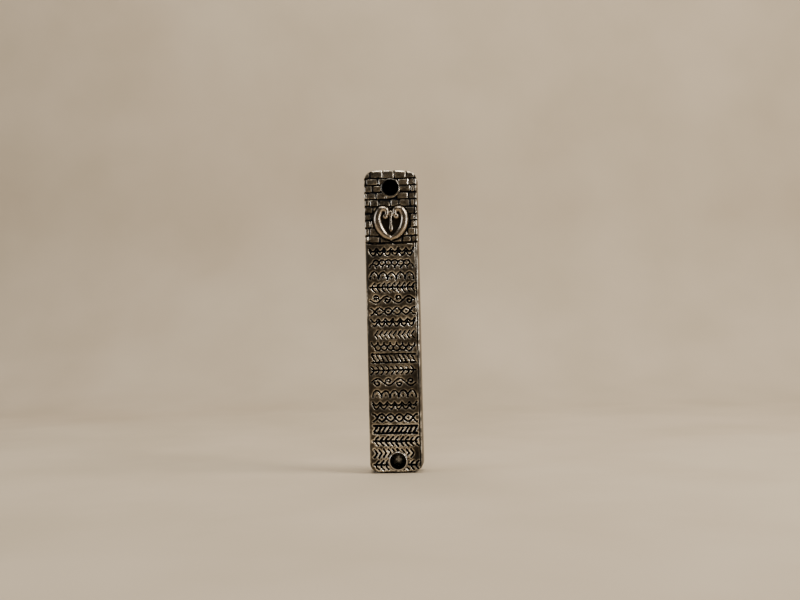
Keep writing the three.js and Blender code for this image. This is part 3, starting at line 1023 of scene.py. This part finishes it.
class Shader:
    """A material whose nodes are added by name, with the object's own coordinates."""

    def __init__(self, name, metallic=0.0):
        self.material = bpy.data.materials.new(name)
        self.material.use_nodes = True
        self.nodes = self.material.node_tree.nodes
        self.links = self.material.node_tree.links
        self.surface = self.nodes["Principled BSDF"]
        self.coordinates = self.nodes.new("ShaderNodeTexCoord").outputs["Object"]
        self.set(Metallic=metallic)

    def set(self, **values):
        """Sets or links sockets of the surface, such as Base_Color for Base Color."""
        self.fill(self.surface, values)

    def fill(self, node, values):
        for name, value in values.items():
            self.plug(node.inputs[name.replace("_", " ")], value)

    def plug(self, socket, value):
        """Links a socket to another node's output, or sets the socket's own value."""
        if isinstance(value, bpy.types.NodeSocket):
            self.links.new(value, socket)
        else:
            socket.default_value = value

    def add(self, kind, **inputs):
        node = self.nodes.new(kind)
        self.fill(node, inputs)
        return node

    def noise(self, size_mm, detail=2.0, stretch=(1, 1, 1)):
        """Noise with features of about the given size, from 0 to 1."""
        mapping = self.add("ShaderNodeMapping", Vector=self.coordinates, Scale=stretch)
        texture = self.add(
            "ShaderNodeTexNoise", Vector=mapping.outputs[0], Scale=1 / (size_mm * MM), Detail=detail
        )
        return texture.outputs["Fac"]

    def attribute(self, name):
        node = self.nodes.new("ShaderNodeAttribute")
        node.attribute_name = name
        return node.outputs["Fac"]

    def math(self, operation, a, b, c=0.5):
        node = self.nodes.new("ShaderNodeMath")
        node.operation = operation
        for socket, value in zip(node.inputs, (a, b, c)):
            self.plug(socket, value)
        return node.outputs[0]

    def vary(self, value, size_mm, detail, amount):
        """A value with noise added, by up to half the amount either way."""
        uneven = self.math("MULTIPLY_ADD", self.noise(size_mm, detail), amount, -amount / 2)
        return self.math("ADD", value, uneven)

    def ramp(self, factor, stops):
        node = self.nodes.new("ShaderNodeValToRGB")
        self.links.new(factor, node.inputs[0])
        elements = node.color_ramp.elements
        while len(elements) < len(stops):
            elements.new(0.5)
        for element, (position, color) in zip(elements, stops):
            element.position = position
            element.color = (*color, 1)
        return node.outputs["Color"]

    def value_ramp(self, factor, stops):
        return self.ramp(factor, [(position, (v, v, v)) for position, v in stops])

    def mix(self, factor, a, b):
        node = self.nodes.new("ShaderNodeMix")
        node.data_type = "RGBA"
        for name, output in (("Factor", factor), ("A", a), ("B", b)):
            self.links.new(output, node.inputs[name])
        return node.outputs["Result"]

    def bump(self, height, depth_mm, strength=1.0, under=None):
        node = self.add("ShaderNodeBump", Height=height, Distance=depth_mm * MM, Strength=strength)
        if under is not None:
            self.links.new(under, node.inputs["Normal"])
        return node.outputs[0]


def cast_silver():
    """Antiqued silver: black in the recesses, brown-grey on the flats, bright where polished by use
    and where highlights are painted.
    """
    s = Shader("cast silver", 1.0)
    worn_and_sheen = s.vary(s.attribute("wear_and_sheen"), 0.35, 3, 0.16)
    silver = s.ramp(worn_and_sheen, [
        (0.0, (0.005, 0.007, 0.012)),
        (0.2, (0.01, 0.0105, 0.012)),
        (0.36, (0.05, 0.044, 0.035)),
        (0.54, (0.085, 0.075, 0.06)),
        (0.76, (0.38, 0.34, 0.28)),
        (1.0, (0.95, 0.9, 0.8)),
    ])
    brown = s.ramp(worn_and_sheen, [
        (0.0, (0.005, 0.004, 0.004)),
        (0.36, (0.045, 0.034, 0.022)),
        (0.56, (0.095, 0.072, 0.048)),
        (1.0, (0.95, 0.84, 0.64)),
    ])
    patch = s.value_ramp(s.noise(5.0, 2), [(0.48, 0.0), (0.68, 0.6)])
    s.set(Base_Color=s.mix(patch, silver, brown))
    rough = s.value_ramp(worn_and_sheen, [(0.0, 0.6), (0.35, 0.5), (0.6, 0.36), (1.0, 0.2)])
    s.set(Roughness=s.vary(rough, 0.8, 2, 0.16))
    pits = s.bump(s.noise(0.22, 2), 0.012, 0.8)
    s.set(Normal=s.bump(s.noise(1.1, 2), 0.03, 0.7, pits))
    return s.material


def polished_silver():
    """Hand-rubbed silver with soft dents, and dark oxide where it meets its seat."""
    s = Shader("polished silver", 1.0)
    worn_and_sheen = s.vary(s.attribute("wear_and_sheen"), 0.7, 2, 0.1)
    color = s.ramp(worn_and_sheen, [
        (0.0, (0.006, 0.008, 0.014)),
        (0.22, (0.03, 0.026, 0.022)),
        (0.5, (0.1, 0.082, 0.062)),
        (0.8, (0.22, 0.184, 0.143)),
        (1.0, (0.4, 0.342, 0.274)),
    ])
    s.set(Base_Color=color)
    rough = s.value_ramp(worn_and_sheen, [(0.0, 0.5), (0.5, 0.36), (1.0, 0.27)])
    s.set(Roughness=s.vary(rough, 0.7, 2, 0.12))
    dents = s.bump(s.noise(1.8, 1), 0.03, 0.6)
    s.set(Normal=s.bump(s.noise(0.12, 2), 0.004, 0.6, dents))
    return s.material


def dark_silver(name, rim):
    """Spun silver with a polished rim over a blackened bore; the rim's tone is painted light on the
    bottom eyelet and painted shade on the top one.
    """
    s = Shader(name, 1.0)
    worn_and_sheen = s.vary(s.attribute("wear_and_sheen"), 0.6, 2, 0.2)
    color = s.ramp(worn_and_sheen, [
        (0.0, (0.004, 0.004, 0.005)),
        (0.55, (0.01, 0.01, 0.011)),
        (0.85, rim),
    ])
    s.set(Base_Color=color)
    rough = s.value_ramp(worn_and_sheen, [(0.0, 0.65), (0.6, 0.5), (0.95, 0.24)])
    s.set(Roughness=rough)
    s.set(Normal=s.bump(s.noise(0.3, 2, (1, 0.1, 1)), 0.01, 0.7))
    return s.material


def black_steel(name, shine, low, high):
    """Black-oxide steel with fine pits, and a head in its own tone; a pale head tone is a painted
    sheen.
    """
    s = Shader(name, 0.8)
    oxide = s.ramp(s.noise(0.9, 3), [(0.35, (0.01, 0.01, 0.012)), (0.75, (0.03, 0.03, 0.032))])
    head = s.ramp(s.noise(0.9, 3), [(0.35, [0.5 * c for c in shine]), (0.75, shine)])
    s.set(Base_Color=s.mix(s.attribute("wear_and_sheen"), oxide, head))
    s.set(Roughness=s.value_ramp(s.noise(0.7, 3), [(0.3, low), (0.75, high)]))
    s.set(Normal=s.bump(s.noise(0.16, 2), 0.008, 0.7))
    return s.material


def cover_sheet():
    """Brushed pewter sheet with faint stains."""
    s = Shader("cover sheet", 1.0)
    brushed = s.noise(0.13, 2, (1, 1, 0.02))
    stain = s.noise(11.0, 3)
    tone = s.math("ADD", s.math("MULTIPLY", brushed, 0.4), s.math("MULTIPLY", stain, 0.6))
    s.set(Base_Color=s.ramp(tone, [(0.34, (0.2, 0.2, 0.198)), (0.66, (0.29, 0.289, 0.284))]))
    s.set(Roughness=s.value_ramp(tone, [(0.3, 0.32), (0.7, 0.24)]))
    s.set(Normal=s.bump(brushed, 0.003, 0.5))
    return s.material


def clear_film():
    """Clear film with a slight ripple, and a little haze."""
    s = Shader("clear film")
    s.set(Base_Color=(0.95, 0.96, 0.94, 1), IOR=1.46, Transmission_Weight=1.0)
    s.set(Roughness=s.value_ramp(s.noise(3.0, 2), [(0.35, 0.04), (0.75, 0.12)]))
    s.set(Normal=s.bump(s.noise(4.0, 2, (1, 1, 0.3)), 0.05, 0.5))
    return s.material


def parchment():
    """Warm parchment with fibres, pores and darker blotches."""
    s = Shader("parchment")
    blotches = s.math("MULTIPLY", s.noise(6.0, 4), 0.6)
    pores = s.math("MULTIPLY", s.noise(0.5, 3), 0.4)
    tone = s.math("ADD", blotches, pores)
    color = s.ramp(tone, [
        (0.33, (0.46, 0.34, 0.19)),
        (0.5, (0.66, 0.53, 0.34)),
        (0.66, (0.8, 0.7, 0.5)),
    ])
    s.set(Base_Color=color)
    s.set(Roughness=s.value_ramp(tone, [(0.3, 0.85), (0.7, 0.65)]))
    fibres = s.bump(s.noise(0.18, 3, (1, 1, 0.25)), 0.02, 0.8)
    s.set(Normal=s.bump(s.noise(2.0, 3), 0.05, 0.6, fibres))
    return s.material


def pale_cloth():
    """The floor and backdrop: pale, warm and matt."""
    s = Shader("pale cloth")
    s.set(Roughness=0.9, Specular_IOR_Level=0.2)
    color = s.ramp(s.noise(60.0, 3), [(0.3, (0.46, 0.385, 0.285)), (0.7, (0.52, 0.44, 0.335))])
    s.set(Base_Color=color)
    s.set(Normal=s.bump(s.noise(0.5, 2), 0.05, 0.35))
    return s.material


# ---- stage, camera, lights

WARM = (1.0, 0.93, 0.82)
COOL = (0.92, 0.95, 1.0)
NEARLY_WHITE = (1.0, 0.97, 0.92)
FLOOR_Z = CASING_LOW[2] - 0.15
ROOM = {"width": 3200, "front": -1800, "back": 370, "corner": 400, "sweep": 130, "height": 900}
# Where the origin is seen from the camera, in metres, and the camera's turns in degrees
CAMERA = {"origin": (-0.0019, 0.3389, -0.0071), "yaw": -2.21, "pitch": -1.33, "roll": -1.32}


def make_stage():
    """A floor that curves up into a wall all round."""
    sweep = ROOM["sweep"]
    length = ROOM["back"] - ROOM["front"]
    middle = (0.0, (ROOM["back"] + ROOM["front"]) / 2)
    levels = [
        (sweep * (1 - math.sin(a)), FLOOR_Z + sweep * (1 - math.cos(a)))
        for a in np.linspace(0, math.pi / 2, 24)
    ]
    levels.append((0.0, ROOM["height"]))
    verts, rings = [], []
    for inset, z in levels:
        plan = rounded_rectangle(
            ROOM["width"] - 2 * inset, length - 2 * inset, ROOM["corner"] - inset, middle, 12
        )
        add_ring(verts, rings, [(x, y, z) for x, y in plan])
    faces = [rings[0]] + ring_faces(rings)
    mesh = bpy.data.meshes.new("sweep")
    mesh.from_pydata((np.array(verts) * MM).tolist(), [], faces)
    mesh.shade_smooth()
    stage = add_object("sweep", mesh)
    mesh.materials.append(pale_cloth())


def make_camera():
    """The camera stands in front, a little to one side, with a slight roll."""
    data = bpy.data.cameras.new("camera")
    data.lens = 45
    data.sensor_width = 36
    data.clip_start = 0.01
    camera = add_object("camera", data)
    yaw = Matrix.Rotation(math.radians(CAMERA["yaw"]), 4, "Z")
    pitch = Matrix.Rotation(math.radians(CAMERA["pitch"]), 4, "X")
    roll = Matrix.Rotation(math.radians(CAMERA["roll"]), 4, "Y")
    seen = Matrix.Translation(CAMERA["origin"]) @ roll @ pitch @ yaw
    camera.matrix_world = seen.inverted() @ Matrix.Rotation(math.radians(90), 4, "X")
    bpy.context.scene.camera = camera


def area_light(name, place_mm, aim_mm, size_mm, watts, color):
    data = bpy.data.lights.new(name, "AREA")
    data.shape = "RECTANGLE"
    data.size, data.size_y = size_mm[0] * MM, size_mm[1] * MM
    data.energy = watts
    data.color = color
    light = add_object(name, data)
    start, aim = Vector(place_mm) * MM, Vector(aim_mm) * MM
    light.location = start
    light.rotation_euler = (aim - start).to_track_quat("-Z", "Y").to_euler()


def make_lights():
    """Five area lights, each with its place, its aim, its size, its watts and its colour."""
    area_light("key", (480, -150, 400), (0, 0, 0), (240, 240), 3.9, WARM)
    area_light("right strip", (430, -250, 40), (0, 0, 10), (50, 200), 0.9, NEARLY_WHITE)
    area_light("above", (20, -230, 480), (0, 0, 20), (220, 60), 0.7, WARM)
    area_light("top", (-60, 60, 620), (0, 150, 0), (500, 400), 3.4, WARM)
    area_light("left edge", (-520, -120, 160), (0, 0, 0), (160, 300), 0.9, COOL)
    world = bpy.data.worlds.new("world")
    world.use_nodes = True
    background = world.node_tree.nodes["Background"]
    background.inputs["Color"].default_value = (*WARM, 1)
    background.inputs["Strength"].default_value = 0.07
    bpy.context.scene.world = world


make_camera()
make_lights()
make_stage()
make_casing(cast_silver())
make_emblem(polished_silver())
# The two eyelets differ only in painted light: a dim rim on the top one, a bright rim on the bottom
# one.
make_eyelet("top_eyelet", TOP_WELL, dark_silver("dark silver painted shaded rim", (0.16, 0.155, 0.145)))
make_eyelet("bottom_eyelet", BOTTOM_WELL, dark_silver("dark silver painted lit rim", (0.6, 0.57, 0.53)))
matt_steel = black_steel("black steel matt", (0.018, 0.019, 0.022), 0.45, 0.65)
make_screw("top_screw", TOP_WELL, matt_steel)
# The bottom screw's pale, glossy head is a painted sheen; the top screw's head stays black.
steel_painted_sheen = black_steel("black steel painted sheen", (0.42, 0.42, 0.41), 0.2, 0.32)
make_screw("bottom_screw", BOTTOM_WELL, steel_painted_sheen)
make_cover(cover_sheet())
make_sleeve(clear_film())
make_scroll(parchment())
